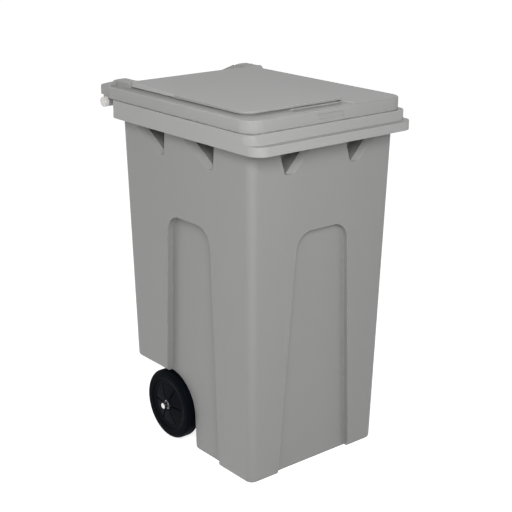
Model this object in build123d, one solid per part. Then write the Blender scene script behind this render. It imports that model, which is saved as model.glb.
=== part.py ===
from build123d import *
import math
import os

# A two-wheeled refuse bin for kerbside collection: a moulded tub with a lifting rim, a hinged
# lid, two hinge pins and a steel axle that carries two rubber-tyred wheels. Millimetres, +Z up,
# the front faces -Y, and the origin is the centre of the bounding box, on the ground.

# Tub
WALL = 4.0
TUB_HALF_WIDTH = 244.0  # at the ground
TUB_FRONT_Y = -296.3  # at the ground
TUB_REAR_Y = 271.4  # where the rear wall's line meets the ground
SIDE_DRAFT = 0.022  # how far each wall leans out for each millimetre of height
FRONT_DRAFT = 0.029
REAR_DRAFT = 0.017
TUB_CORNER_RADIUS = 25.0
UNDERSIDE_EDGE_RADIUS = 10.0

# Lifting rim
RIM_TOP_Z = 1042.0
RIM_HEIGHT = 53.0
RIM_SIDE_OVERHANG = 23.0
RIM_FRONT_OVERHANG = 55.0
RIM_REAR_OVERHANG = 33.4
RIM_CORNER_RADIUS = 42.0
RIM_TAIL_RADIUS = 30.0
LEDGE_DROP = 27.0  # from the rim's top to the ledge that a lorry's lift takes hold of
LEDGE_DEPTH_LOW = 24.0
LEDGE_DEPTH_HIGH = 34.0

# Pockets under the rim, two on each of the front and side walls
POCKET_DROP = 130.0  # from the rim's top to a pocket's bottom
POCKET_HALF_BOTTOM = 19.0
POCKET_SIDE_SLANT = 92.0  # how far its far side leans away, up to its full width
POCKET_FRONT_SLANT = 58.0
POCKET_SLANT_HEIGHT = 61.0
POCKET_SIDE_NEAR_SLANT = 12.0  # how far its near side leans away, up to its top
POCKET_FRONT_NEAR_SLANT = 38.0
POCKET_DEPTH = 12.0  # where its ramp ends
POCKET_DEEP = 55.0  # between its near side and the foot of the ramp
POCKET_SIDE_RAMP = 42.0  # how far its far side comes in, at that depth
POCKET_FRONT_RAMP = 28.0
POCKET_BOTTOM_RADIUS = 7.0
POCKET_SIDE_MIDDLE_Y = -25.5
POCKET_SIDE_SPACING = 116.0  # from that middle
POCKET_FRONT_MIDDLE_X = -7.0
POCKET_FRONT_SPACING = 120.0

# Arched recesses that stiffen the walls
ARCH_TOP_Z = 738.0
SIDE_ARCH_DEPTH = 19.0
SIDE_ARCH_FRONT_TOP_Y = -135.5
SIDE_ARCH_FRONT_BASE_Y = -147.5
SIDE_ARCH_REAR_TOP_Y = 67.5
SIDE_ARCH_REAR_BASE_Y = 121.5
SIDE_ARCH_RADIUS = 60.0
FRONT_ARCH_DEPTH = 17.0
FRONT_ARCH_HALF_TOP = 94.0
FRONT_ARCH_HALF_BASE = 141.0
FRONT_ARCH_RADIUS = 55.0

# Wheels and axle
TYRE_RADIUS = 110.0
TYRE_WIDTH = 48.0
TYRE_STAND_OUT = 6.0  # of its outer face beyond the foot of the tub's side
TYRE_SHOULDER_RADIUS = 13.0
TYRE_SIDE_ROUND = 3.0  # how far its sides fall away towards the hub
TYRE_DEPTH = 34.0  # from the tread to the hub's rim
TREAD_GROOVE_WIDTH = 3.0
TREAD_GROOVE_DEPTH = 2.0
TREAD_GROOVE_OFFSET = 6.0  # from the middle of the tread
WHEEL_ARCH_GAP = 6.0
AXLE_Y = 107.5
AXLE_RADIUS = 9.0
AXLE_STAND_OUT = 14.0  # of its end beyond the boss
AXLE_CHAMFER = 1.5
RUNNING_CLEARANCE = 0.08  # radial, of a shaft in the bore that it turns in
FACE_CLEARANCE = 0.4
BOSS_WALL = 4.5  # round the washer's counterbore
BOSS_STAND_OUT = 4.0  # beyond the tyre
BOSS_LENGTH = 64.0
HUB_RIM_THICKNESS = 5.0
HUB_DISC_THICKNESS = 9.0
HUB_DISH = 3.0  # how far the disc sinks towards its rim
HUB_SLOT_COUNT = 6
HUB_SLOT_WIDTH = 5.0
HUB_SLOT_DEPTH = 9.0
HUB_SLOT_MARGIN = 4.0  # left whole between a slot's end and the hub's rim
WASHER_WIDTH = 6.0  # radially
WASHER_THICKNESS = 2.0
COUNTERBORE_GAP = 0.5
RING_WIDTH = 4.0  # radially, from the axle's surface
RING_THICKNESS = 1.6
RING_GROOVE_DEPTH = 1.0
RING_MOUTH_HALF = 3.0
CARRIER_LENGTH = 36.0
CARRIER_PLATE = 6.0
CARRIER_WALL = 8.0  # round the axle
CARRIER_DROP = 30.0  # of its front foot below the axle

# Hinge and handle
HINGE_BEHIND_RIM = 30.5
HINGE_DROP = 13.9  # of the hinge axis below the rim's top
HANDLE_WALL = 8.0  # round the hinge pin
HANDLE_RIB_WIDTH = 12.0
HANDLE_RIB_DROP = 4.0  # below the hinge axis
HANDLE_RIB_RISE = 6.0  # above it, just under the lid's back skirt
HINGE_SWEEP_RADIUS = 60.0  # the room that the back of the lid turns in
CHEEK_GAP = 0.6
PIN_RADIUS = 6.0
PIN_ENGAGEMENT = 62.0  # of the shank in the handle
PIN_HEAD_RADIUS = 15.5
PIN_HEAD_THICKNESS = 13.0
PIN_HEAD_ROUND = 2.0

# Lid
LID_GAP = 0.5  # between the lid's skirt and the rim that it rests on
LID_HEIGHT = 36.0
LID_SIDE_SET_BACK = 4.0  # from the rim's side
LID_FRONT_SET_BACK = 37.0  # from the rim's front
LID_CORNER_RADIUS = 50.0
LID_EDGE_RADIUS = 4.0
LID_WALL = 4.0
LID_SHADOW_GAP = 2.2  # the step along the outside of the skirt's lower edge
LID_SHADOW_DEPTH = 2.0
LID_BACK_EDGE = 56.5  # in front of the hinge axis, between the knuckles
LID_TAIL = 28.5  # behind the hinge axis
LID_TAIL_RISE = 4.5
LID_TAIL_RADIUS = 9.0
LID_TAIL_INSET = 12.0  # of the tail's sides from the skirt's
SKIRT_END_RADIUS = 8.0
KNUCKLE_RADIUS = 15.0
KNUCKLE_LENGTH = 20.0
BLOCK_WIDTH = 45.0
BLOCK_HEIGHT = 20.0
BLOCK_ROOF_DROP = 6.0  # of its two sides below its ridge
BLOCK_FRONT_DROP = 3.0
BLOCK_SHOULDER_DROP = 3.0
BLOCK_FRONT = 95.0  # in front of the hinge axis
BLOCK_CREST = 46.0
BLOCK_SHOULDER = 22.0
BLOCK_END = 5.5
BLOCK_REAR_HEIGHT = 8.0
BLOCK_CREST_RADIUS = 40.0
BLOCK_SHOULDER_RADIUS = 40.0
TAIL_RIDGE_RISE = 11.0
BLOCK_WING = 46.0  # the width, at its rear, of the slope that runs down inwards from it
BLOCK_WING_RISE = 11.5
BLOCK_WING_END = 3.5  # in front of the hinge axis
PANEL_SIDE_MARGIN = 36.0
PANEL_FRONT_MARGIN = 61.0
PANEL_BACK_MARGIN = 35.0
PANEL_FRONT_HEIGHT = 9.5
PANEL_MIDDLE_HEIGHT = 11.5
PANEL_REAR_HEIGHT = 18.0
PANEL_CORNER_RADIUS = 48.0
PANEL_SWEEP = ((32.0, 170.0), (74.0, 337.0))  # its right edge, from its front end
PANEL_SWEEP_TANGENTS = ((0.3, 1.0), (0.75, 1.0))
PANEL_LIP_THICKNESS = 5.5
PANEL_LIP_DEPTH = 8.0  # how far the lip stands out over the groove below it
PANEL_LIP_END_Y = 35.5  # behind this the left edge is a plain slope
PANEL_SLOPE_WIDTH = 7.0
PANEL_SLOPE_FOOT = 5.0  # the height of the groove below that slope
TRAY_HALF_BACK = 92.0
TRAY_HALF_FRONT = 116.0
TRAY_BACK_MARGIN = 74.0
TRAY_FRONT_MARGIN = 22.0
TRAY_DEPTH = 3.0
LABEL_HALF_WIDTH = 51.0
LABEL_RISE = 9.5  # of its lower edge above the lid's lower edge
LABEL_HEIGHT = 17.0
LABEL_DEPTH = 4.0

# Sizes and places that follow from these
FAR = 700.0
RIM_BOTTOM_Z = RIM_TOP_Z - RIM_HEIGHT
RIM_HALF_WIDTH = TUB_HALF_WIDTH + SIDE_DRAFT * RIM_TOP_Z + RIM_SIDE_OVERHANG
RIM_FRONT_Y = TUB_FRONT_Y - FRONT_DRAFT * RIM_TOP_Z - RIM_FRONT_OVERHANG
RIM_REAR_Y = TUB_REAR_Y + REAR_DRAFT * RIM_TOP_Z + RIM_REAR_OVERHANG
LEDGE_Z = RIM_TOP_Z - LEDGE_DROP
POCKET_BOTTOM_Z = RIM_TOP_Z - POCKET_DROP
POCKET_WIDE_Z = POCKET_BOTTOM_Z + POCKET_SLANT_HEIGHT
ARCH_RADIUS = TYRE_RADIUS + WHEEL_ARCH_GAP
STEP_Z = TYRE_RADIUS + ARCH_RADIUS
TYRE_OUTER_X = TUB_HALF_WIDTH + TYRE_STAND_OUT
TYRE_SEAT_RADIUS = TYRE_RADIUS - TYRE_DEPTH
WASHER_RADIUS = AXLE_RADIUS + WASHER_WIDTH
COUNTERBORE_RADIUS = WASHER_RADIUS + COUNTERBORE_GAP
BOSS_RADIUS = COUNTERBORE_RADIUS + BOSS_WALL
BOSS_OUTER_X = TYRE_OUTER_X + BOSS_STAND_OUT
BOSS_INNER_X = BOSS_OUTER_X - BOSS_LENGTH
COUNTERBORE_X = BOSS_OUTER_X - 2 * FACE_CLEARANCE - WASHER_THICKNESS - 2 * RING_THICKNESS
RING_X = COUNTERBORE_X + 2 * FACE_CLEARANCE + WASHER_THICKNESS
AXLE_HALF_LENGTH = BOSS_OUTER_X + AXLE_STAND_OUT
CARRIER_OUTER_X = BOSS_INNER_X - 2 * FACE_CLEARANCE - WASHER_THICKNESS
CARRIER_RADIUS = AXLE_RADIUS + CARRIER_WALL
HINGE_Y = RIM_REAR_Y + HINGE_BEHIND_RIM
HINGE_Z = RIM_TOP_Z - HINGE_DROP
HANDLE_RADIUS = PIN_RADIUS + HANDLE_WALL
LID_BOTTOM_Z = RIM_TOP_Z + LID_GAP
LID_TOP_Z = LID_BOTTOM_Z + LID_HEIGHT
LID_HALF_WIDTH = RIM_HALF_WIDTH - LID_SIDE_SET_BACK
LID_FRONT_Y = RIM_FRONT_Y + LID_FRONT_SET_BACK
LID_BACK_EDGE_Y = HINGE_Y - LID_BACK_EDGE
LID_TAIL_Y = HINGE_Y + LID_TAIL
LID_TAIL_BOTTOM_Z = LID_BOTTOM_Z + LID_TAIL_RISE
TAIL_HALF_WIDTH = LID_HALF_WIDTH - LID_TAIL_INSET
KNUCKLE_INNER_X = TAIL_HALF_WIDTH - KNUCKLE_LENGTH
HANDLE_HALF_LENGTH = KNUCKLE_INNER_X - 2 * FACE_CLEARANCE
BLOCK_OUTER_X = KNUCKLE_INNER_X
BLOCK_STEP_X = BLOCK_OUTER_X - BLOCK_WIDTH
BLOCK_INNER_X = BLOCK_STEP_X - BLOCK_WING
BLOCK_TOP_Z = LID_TOP_Z + BLOCK_HEIGHT
PIN_HEAD_FACE_X = TAIL_HALF_WIDTH + FACE_CLEARANCE + PIN_HEAD_THICKNESS
PANEL_LEFT_X = PANEL_SIDE_MARGIN - LID_HALF_WIDTH
PANEL_FRONT_Y = LID_FRONT_Y + PANEL_FRONT_MARGIN
PANEL_REAR_Y = LID_BACK_EDGE_Y - PANEL_BACK_MARGIN
TRAY_BACK_Y = LID_FRONT_Y + TRAY_BACK_MARGIN
TRAY_FRONT_Y = LID_FRONT_Y + TRAY_FRONT_MARGIN
LABEL_LOW_Z = LID_BOTTOM_Z + LABEL_RISE
LABEL_HIGH_Z = LABEL_LOW_Z + LABEL_HEIGHT


def box_between(low, high):
    """A box from its lowest corner to its highest."""
    size = [b - a for a, b in zip(low, high)]
    centre = [(a + b) / 2 for a, b in zip(low, high)]
    return Pos(*centre) * Box(*size)


def bar_along_x(radius, x_from, x_to, y, z):
    """A round bar that lies along X."""
    bar = Rot(0, 90, 0) * Cylinder(radius, x_to - x_from)
    return Pos((x_from + x_to) / 2, y, z) * bar


def rounded_face(vectors, rounded):
    """A flat face with those corners; rounded holds (point number, radius) pairs."""
    face = make_face(Polyline(*vectors, close=True))
    for number, radius in rounded:
        corner = face.vertices().sort_by_distance(vectors[number])[0]
        face = fillet(corner, radius)
    return face


def prism_along_x(face_points, x_from, x_to, rounded=()):
    """A prism along X from (y, z) points; rounded holds (point number, radius) pairs."""
    vectors = [Vector(0, y, z) for y, z in face_points]
    face = rounded_face(vectors, rounded)
    return Pos(x_from, 0, 0) * extrude(face, amount=x_to - x_from, dir=(1, 0, 0))


def prism_along_y(face_points, y_from, y_to, rounded=()):
    """A prism along Y from (x, z) points; rounded holds (point number, radius) pairs."""
    vectors = [Vector(x, 0, z) for x, z in face_points]
    face = rounded_face(vectors, rounded)
    return Pos(0, y_from, 0) * extrude(face, amount=y_to - y_from, dir=(0, 1, 0))


def plan_face(half_width, front, rear, radius, z):
    """A rounded rectangle, level, at height z."""
    return Pos(0, (front + rear) / 2, z) * RectangleRounded(2 * half_width, rear - front, radius)


def both_sides(piece):
    """A piece and its mirror image in the YZ plane."""
    return piece + mirror(piece, about=Plane.YZ)


# ---------------------------------------------------------------- tub


def tapered_block(side_inset, front_inset, rear_inset, low_z, high_z):
    """A block with flat, drafted sides, each that far inside the tub's outer face."""
    across = []
    along = []
    for z in (low_z, high_z):
        half_width = TUB_HALF_WIDTH + SIDE_DRAFT * z - side_inset
        front = TUB_FRONT_Y - FRONT_DRAFT * z + front_inset
        rear = TUB_REAR_Y + REAR_DRAFT * z - rear_inset
        across.append((half_width, z))
        along.append((front, rear, z))
    (low_half, _), (high_half, _) = across
    (low_front, low_rear, _), (high_front, high_rear, _) = along
    wide = prism_along_y(
        [(-low_half, low_z), (-high_half, high_z), (high_half, high_z), (low_half, low_z)],
        -2 * FAR,
        2 * FAR,
    )
    deep = prism_along_x(
        [(low_front, low_z), (high_front, high_z), (high_rear, high_z), (low_rear, low_z)],
        -2 * FAR,
        2 * FAR,
    )
    return wide & deep


def tub_block(inset):
    """The tub's outer form, moved in by inset on every side and the floor."""
    block = tapered_block(inset, inset, inset, inset, RIM_TOP_Z)
    uprights = [edge for edge in block.edges() if edge.bounding_box().size.Z > RIM_TOP_Z / 2]
    return fillet(uprights, TUB_CORNER_RADIUS - inset)


def wall_core(side_inset, front_inset):
    """A block whose sides and front lie that far inside the tub's, to bound a recess."""
    return tapered_block(side_inset, front_inset, -FAR, -WALL, RIM_TOP_Z + WALL)


def side_arches(grow):
    """The arched prism through both side walls, grown outwards by grow."""
    points = [
        (SIDE_ARCH_FRONT_BASE_Y - grow, -WALL),
        (SIDE_ARCH_FRONT_TOP_Y - grow, ARCH_TOP_Z + grow),
        (SIDE_ARCH_REAR_TOP_Y + grow, ARCH_TOP_Z + grow),
        (SIDE_ARCH_REAR_BASE_Y + grow, -WALL),
    ]
    rounded = [(1, SIDE_ARCH_RADIUS + grow), (2, SIDE_ARCH_RADIUS + grow)]
    return prism_along_x(points, -FAR, FAR, rounded)


def front_arch(grow):
    """The arched prism through the front wall, grown outwards by grow."""
    points = [
        (-FRONT_ARCH_HALF_BASE - grow, -WALL),
        (-FRONT_ARCH_HALF_TOP - grow, ARCH_TOP_Z + grow),
        (FRONT_ARCH_HALF_TOP + grow, ARCH_TOP_Z + grow),
        (FRONT_ARCH_HALF_BASE + grow, -WALL),
    ]
    rounded = [(1, FRONT_ARCH_RADIUS + grow), (2, FRONT_ARCH_RADIUS + grow)]
    return prism_along_y(points, -FAR, 0, rounded)


def pocket_points(near_slant, slant, grow):
    """The outline of one pocket about its middle line, grown outwards by grow."""
    top = RIM_TOP_Z - WALL - WALL + grow
    low = POCKET_BOTTOM_Z - grow
    near = -POCKET_HALF_BOTTOM - grow
    far = POCKET_HALF_BOTTOM + grow
    return [
        (near, low),
        (near - near_slant, top),
        (far + slant, top),
        (far + slant, POCKET_WIDE_Z),
        (far, low),
    ]


def ramp_points(slant, grow):
    """What lies on the near side of a pocket's far side, grown outwards by grow."""
    far = POCKET_HALF_BOTTOM + grow
    top = RIM_TOP_Z + grow
    below = POCKET_BOTTOM_Z - grow - POCKET_SLANT_HEIGHT
    return [
        (far - slant, below),
        (far + slant, POCKET_WIDE_Z),
        (far + slant, top),
        (-TUB_HALF_WIDTH, top),
        (-TUB_HALF_WIDTH, below),
    ]


def side_pocket(grow):
    """The left side's pocket about Y 0: its ramp, at the rear, and its deep part."""
    wall_x = -(TUB_HALF_WIDTH + SIDE_DRAFT * POCKET_WIDE_Z)
    radius = POCKET_BOTTOM_RADIUS + grow
    near_slant, slant = POCKET_SIDE_NEAR_SLANT, POCKET_SIDE_SLANT
    points = pocket_points(near_slant, slant, grow)
    straight = prism_along_x(points, -FAR, 0, [(0, radius), (4, radius)])
    ramp = rounded_face([Vector(wall_x, y, z) for y, z in ramp_points(slant, grow)], [])
    lean = POCKET_SIDE_RAMP / POCKET_DEPTH
    reach = 2 * POCKET_DEPTH * math.hypot(1, lean)
    inside = extrude(ramp, amount=reach, dir=(1, -lean, 0))
    outside = extrude(ramp, amount=reach, dir=(-1, lean, 0))
    shifted = pocket_points(FAR, slant, grow)
    beyond = Pos(0, FACE_CLEARANCE - POCKET_SIDE_RAMP, 0) * prism_along_x(shifted, -FAR, 0)
    return straight & (inside + outside), straight & beyond


def front_pocket(grow):
    """A front pocket about X 0: its ramp, on the right, and its deep part."""
    wall_y = TUB_FRONT_Y - FRONT_DRAFT * POCKET_WIDE_Z
    radius = POCKET_BOTTOM_RADIUS + grow
    near_slant, slant = POCKET_FRONT_NEAR_SLANT, POCKET_FRONT_SLANT
    points = pocket_points(near_slant, slant, grow)
    straight = prism_along_y(points, -FAR, 0, [(0, radius), (4, radius)])
    ramp = rounded_face([Vector(x, wall_y, z) for x, z in ramp_points(slant, grow)], [])
    lean = POCKET_FRONT_RAMP / POCKET_DEPTH
    reach = 2 * POCKET_DEPTH * math.hypot(1, lean)
    inside = extrude(ramp, amount=reach, dir=(-lean, 1, 0))
    outside = extrude(ramp, amount=reach, dir=(lean, -1, 0))
    shifted = pocket_points(FAR, slant, grow)
    beyond = Pos(FACE_CLEARANCE - POCKET_FRONT_RAMP, 0, 0) * prism_along_y(shifted, -FAR, 0)
    return straight & (inside + outside), straight & beyond


def pockets(grow):
    """The six pockets' cuts: the ramps, and the deep parts."""
    front_ramp, front_deep = front_pocket(grow)
    side_ramp, side_deep = side_pocket(grow)
    ramps = []
    deeps = []
    for step in (-1, 1):
        front_place = Pos(POCKET_FRONT_MIDDLE_X + step * POCKET_FRONT_SPACING, 0, 0)
        side_place = Pos(0, POCKET_SIDE_MIDDLE_Y + step * POCKET_SIDE_SPACING, 0)
        ramps += [front_place * front_ramp, side_place * both_sides(side_ramp)]
        deeps += [front_place * front_deep, side_place * both_sides(side_deep)]
    return ramps, deeps


def wheel_niche(grow):
    """The space under the back of the tub, rounded about the axle, grown by grow."""
    riser = AXLE_Y - ARCH_RADIUS - grow
    step = STEP_Z + grow
    floor = -TYRE_RADIUS
    points = [(riser, floor), (riser, step), (FAR, step), (FAR, floor)]
    return prism_along_x(points, -FAR, FAR, [(1, ARCH_RADIUS + grow)])


def softened_underside(form, inset):
    """The form with the edges of its floor and of the wheel niche rounded."""
    step = STEP_Z + inset
    edges = []
    for edge in form.edges():
        box = edge.bounding_box()
        crosswise = box.min.X < 0 < box.max.X
        at_niche = box.min.Y > AXLE_Y - ARCH_RADIUS - inset - 1 and box.max.Z < step + 1
        on_floor = box.max.Z < inset + 1
        at_back = box.min.Y > AXLE_Y + 1
        if on_floor or (at_niche and (at_back or not crosswise)):
            edges.append(edge)
    return fillet(edges, UNDERSIDE_EDGE_RADIUS - inset)


def tub_form(inset):
    """The tub's outer form at inset 0, and the space inside it at inset WALL."""
    form = tub_block(inset)
    form -= wheel_niche(inset)
    form = softened_underside(form, inset)
    form -= side_arches(inset) - wall_core(SIDE_ARCH_DEPTH + inset, -FAR)
    form -= front_arch(inset) - wall_core(-FAR, FRONT_ARCH_DEPTH + inset)
    for depth, cuts in zip((POCKET_DEPTH, POCKET_DEEP), pockets(inset)):
        core = wall_core(depth + inset, depth + inset)
        for cut in cuts:
            form -= cut - core
    form -= hinge_room(inset)
    return form


def hinge_room(grow):
    """The round trough along the hinge axis, between the cheeks of the rim."""
    half = RIM_HALF_WIDTH - WALL + CHEEK_GAP + grow
    return bar_along_x(HINGE_SWEEP_RADIUS + grow, -half, half, HINGE_Y, HINGE_Z)


# ---------------------------------------------------------------- rim


def ledge_cut(grow):
    """What is cut from the rim above its front ledge, grown inwards by grow."""
    low = LEDGE_Z - grow
    height = RIM_TOP_Z + WALL - low
    points = [
        (RIM_FRONT_Y - FAR, low),
        (RIM_FRONT_Y + LEDGE_DEPTH_LOW + grow, low),
        (RIM_FRONT_Y + LEDGE_DEPTH_HIGH + grow, RIM_TOP_Z + WALL),
        (RIM_FRONT_Y - FAR, RIM_TOP_Z + WALL),
    ]
    slope = prism_along_x(points, -FAR, FAR)
    front = RIM_FRONT_Y + LEDGE_DEPTH_LOW + grow
    upper = plan_face(
        RIM_HALF_WIDTH - grow, front, RIM_REAR_Y + FAR, RIM_CORNER_RADIUS - grow, low
    )
    corners = box_between((-FAR, -FAR, low), (FAR, 0, low + height))
    corners -= extrude(upper, amount=height, dir=(0, 0, 1))
    return slope + corners


def rim_shell():
    """The rim that surrounds the tub: a top flange and a hanging skirt, open below."""
    face = plan_face(RIM_HALF_WIDTH, RIM_FRONT_Y, RIM_REAR_Y, RIM_CORNER_RADIUS, RIM_BOTTOM_Z)
    outer = extrude(face, amount=RIM_HEIGHT, dir=(0, 0, 1))
    inner_face = plan_face(
        RIM_HALF_WIDTH - WALL,
        RIM_FRONT_Y + WALL,
        RIM_REAR_Y - WALL,
        RIM_CORNER_RADIUS - WALL,
        RIM_BOTTOM_Z - WALL,
    )
    inner = extrude(inner_face, amount=RIM_HEIGHT, dir=(0, 0, 1))
    return (outer - ledge_cut(0)) - (inner - ledge_cut(WALL))


def rim_tails():
    """Cuts that round the low rear corners of the rim's cheeks."""
    corner = box_between(
        (-FAR, RIM_REAR_Y - RIM_TAIL_RADIUS, RIM_BOTTOM_Z - WALL),
        (FAR, RIM_REAR_Y + WALL, RIM_BOTTOM_Z + RIM_TAIL_RADIUS),
    )
    return corner - bar_along_x(
        RIM_TAIL_RADIUS, -FAR, FAR, RIM_REAR_Y - RIM_TAIL_RADIUS, RIM_BOTTOM_Z + RIM_TAIL_RADIUS
    )


def handle():
    """The hand bar on the hinge axis and the ribs that hold it."""
    bar = bar_along_x(HANDLE_RADIUS, -HANDLE_HALF_LENGTH, HANDLE_HALF_LENGTH, HINGE_Y, HINGE_Z)
    back = TUB_REAR_Y + REAR_DRAFT * HINGE_Z - WALL / 2
    for outer_x in (HANDLE_HALF_LENGTH, BLOCK_INNER_X - 2 * FACE_CLEARANCE):
        rib = box_between(
            (outer_x - HANDLE_RIB_WIDTH, back, HINGE_Z - HANDLE_RIB_DROP),
            (outer_x, HINGE_Y, HINGE_Z + HANDLE_RIB_RISE),
        )
        bar += both_sides(rib - bar_along_x(HANDLE_RADIUS, -FAR, FAR, HINGE_Y, HINGE_Z))
    bores = bar_along_x(
        PIN_RADIUS + RUNNING_CLEARANCE,
        HANDLE_HALF_LENGTH - PIN_ENGAGEMENT - WALL,
        FAR,
        HINGE_Y,
        HINGE_Z,
    )
    return bar - both_sides(bores)


def axle_carriers():
    """Two forks under the step, each a tube round the axle between two plates."""
    riser = AXLE_Y - ARCH_RADIUS
    inner_x = CARRIER_OUTER_X - CARRIER_LENGTH
    points = [
        (riser - WALL / 2, TYRE_RADIUS - CARRIER_DROP),
        (AXLE_Y, TYRE_RADIUS - CARRIER_RADIUS),
        (AXLE_Y + CARRIER_RADIUS, TYRE_RADIUS),
        (AXLE_Y + CARRIER_RADIUS, STEP_Z + WALL / 2),
        (riser - WALL / 2, STEP_Z + WALL / 2),
    ]
    tube = bar_along_x(CARRIER_RADIUS, inner_x, CARRIER_OUTER_X, AXLE_Y, TYRE_RADIUS)
    for low_x in (inner_x, CARRIER_OUTER_X - CARRIER_PLATE):
        tube += prism_along_x(points, low_x, low_x + CARRIER_PLATE)
    bore = bar_along_x(AXLE_RADIUS + RUNNING_CLEARANCE, 0, FAR, AXLE_Y, TYRE_RADIUS)
    return both_sides(tube - bore)


def make_body():
    """The tub, rim, handle and axle carriers, which are one moulding."""
    cavity = tub_form(WALL)
    rim = rim_shell() - tub_block(WALL / 2)
    body = tub_form(0) + (rim - hinge_room(0))
    body += axle_carriers() - cavity
    body -= cavity
    body -= rim_tails()
    body += handle()
    return body


# ---------------------------------------------------------------- hinge pins, axle, wheels


def make_hinge_pin():
    """The right-hand pin: a round head and a shank through the knuckle into the handle."""
    inner_end = HANDLE_HALF_LENGTH - PIN_ENGAGEMENT
    seat = TAIL_HALF_WIDTH + FACE_CLEARANCE
    head = bar_along_x(PIN_HEAD_RADIUS, seat, PIN_HEAD_FACE_X, HINGE_Y, HINGE_Z)
    head = fillet(head.edges().sort_by(Axis.X)[-1:], PIN_HEAD_ROUND)
    shank = bar_along_x(PIN_RADIUS, inner_end, PIN_HEAD_FACE_X - PIN_HEAD_ROUND, HINGE_Y, HINGE_Z)
    shank = chamfer(shank.edges().sort_by(Axis.X)[:1], AXLE_CHAMFER)
    return head + shank


def make_axle():
    """The steel axle, with a groove near each end for its retaining ring."""
    axle = bar_along_x(AXLE_RADIUS, -AXLE_HALF_LENGTH, AXLE_HALF_LENGTH, AXLE_Y, TYRE_RADIUS)
    ends = axle.edges().filter_by(GeomType.CIRCLE)
    axle = chamfer(ends, AXLE_CHAMFER)
    low = RING_X - FACE_CLEARANCE / 4
    high = RING_X + RING_THICKNESS + FACE_CLEARANCE / 4
    groove = bar_along_x(AXLE_RADIUS + WALL, low, high, AXLE_Y, TYRE_RADIUS)
    groove -= bar_along_x(AXLE_RADIUS - RING_GROOVE_DEPTH, low, high, AXLE_Y, TYRE_RADIUS)
    return axle - both_sides(groove)


def turned_on_axle(points, rounded=()):
    """A solid of revolution about the axle from (x, radius) points."""
    vectors = [Vector(x, AXLE_Y, TYRE_RADIUS + radius) for x, radius in points]
    face = rounded_face(vectors, rounded)
    return revolve(face, Axis((0, AXLE_Y, TYRE_RADIUS), (1, 0, 0)), 360)


def make_tyre():
    """The right-hand tyre: solid rubber, round shoulders and two grooves round the tread."""
    inner_x = TYRE_OUTER_X - TYRE_WIDTH
    middle = (TYRE_SEAT_RADIUS + TYRE_RADIUS) / 2 - TYRE_SIDE_ROUND
    points = [
        (inner_x + TYRE_SIDE_ROUND, TYRE_SEAT_RADIUS),
        (inner_x, middle),
        (inner_x, TYRE_RADIUS),
        (TYRE_OUTER_X, TYRE_RADIUS),
        (TYRE_OUTER_X, middle),
        (TYRE_OUTER_X - TYRE_SIDE_ROUND, TYRE_SEAT_RADIUS),
    ]
    side_radius = 2 * TYRE_SHOULDER_RADIUS
    rounded = [
        (1, side_radius),
        (2, TYRE_SHOULDER_RADIUS),
        (3, TYRE_SHOULDER_RADIUS),
        (4, side_radius),
    ]
    tyre = turned_on_axle(points, rounded)
    for offset in (-TREAD_GROOVE_OFFSET, TREAD_GROOVE_OFFSET):
        x = inner_x + TYRE_WIDTH / 2 + offset
        groove = [
            (x - TREAD_GROOVE_WIDTH / 2, TYRE_RADIUS - TREAD_GROOVE_DEPTH),
            (x - TREAD_GROOVE_WIDTH / 2, TYRE_RADIUS + WALL),
            (x + TREAD_GROOVE_WIDTH / 2, TYRE_RADIUS + WALL),
            (x + TREAD_GROOVE_WIDTH / 2, TYRE_RADIUS - TREAD_GROOVE_DEPTH),
        ]
        tyre -= turned_on_axle(groove)
    return tyre


def make_hub():
    """The right-hand hub: a rim in the tyre, a slotted disc and a boss round the axle."""
    rim_inner = TYRE_SEAT_RADIUS - HUB_RIM_THICKNESS
    disc_inner_x = TYRE_OUTER_X - HUB_DISC_THICKNESS
    rim_low_x = TYRE_OUTER_X - TYRE_WIDTH + TYRE_SIDE_ROUND + FACE_CLEARANCE
    rim_high_x = TYRE_OUTER_X - TYRE_SIDE_ROUND - FACE_CLEARANCE
    bore = AXLE_RADIUS + RUNNING_CLEARANCE
    points = [
        (BOSS_INNER_X, bore),
        (BOSS_INNER_X, BOSS_RADIUS),
        (disc_inner_x - HUB_DISH, BOSS_RADIUS),
        (disc_inner_x - HUB_DISH, rim_inner),
        (rim_low_x, rim_inner),
        (rim_low_x, TYRE_SEAT_RADIUS),
        (rim_high_x, TYRE_SEAT_RADIUS),
        (rim_high_x, rim_inner),
        (TYRE_OUTER_X - 2 * HUB_DISH, rim_inner - HUB_DISH),
        (TYRE_OUTER_X, BOSS_RADIUS + HUB_DISH),
        (BOSS_OUTER_X, BOSS_RADIUS),
        (BOSS_OUTER_X, COUNTERBORE_RADIUS),
        (COUNTERBORE_X, COUNTERBORE_RADIUS),
        (COUNTERBORE_X, bore),
    ]
    hub = turned_on_axle(points)
    for number in range(HUB_SLOT_COUNT):
        turn = 360 / HUB_SLOT_COUNT * (number + 0.5)
        slot = box_between(
            (TYRE_OUTER_X - HUB_SLOT_DEPTH, -HUB_SLOT_WIDTH / 2, BOSS_RADIUS + HUB_DISH),
            (BOSS_OUTER_X, HUB_SLOT_WIDTH / 2, rim_inner - HUB_SLOT_MARGIN),
        )
        hub -= Pos(0, AXLE_Y, TYRE_RADIUS) * Rot(turn, 0, 0) * slot
    return hub


def make_washer(x_low):
    """A flat steel washer on the axle."""
    outer = bar_along_x(WASHER_RADIUS, x_low, x_low + WASHER_THICKNESS, AXLE_Y, TYRE_RADIUS)
    return outer - bar_along_x(AXLE_RADIUS + 2 * RUNNING_CLEARANCE, 0, FAR, AXLE_Y, TYRE_RADIUS)


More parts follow.
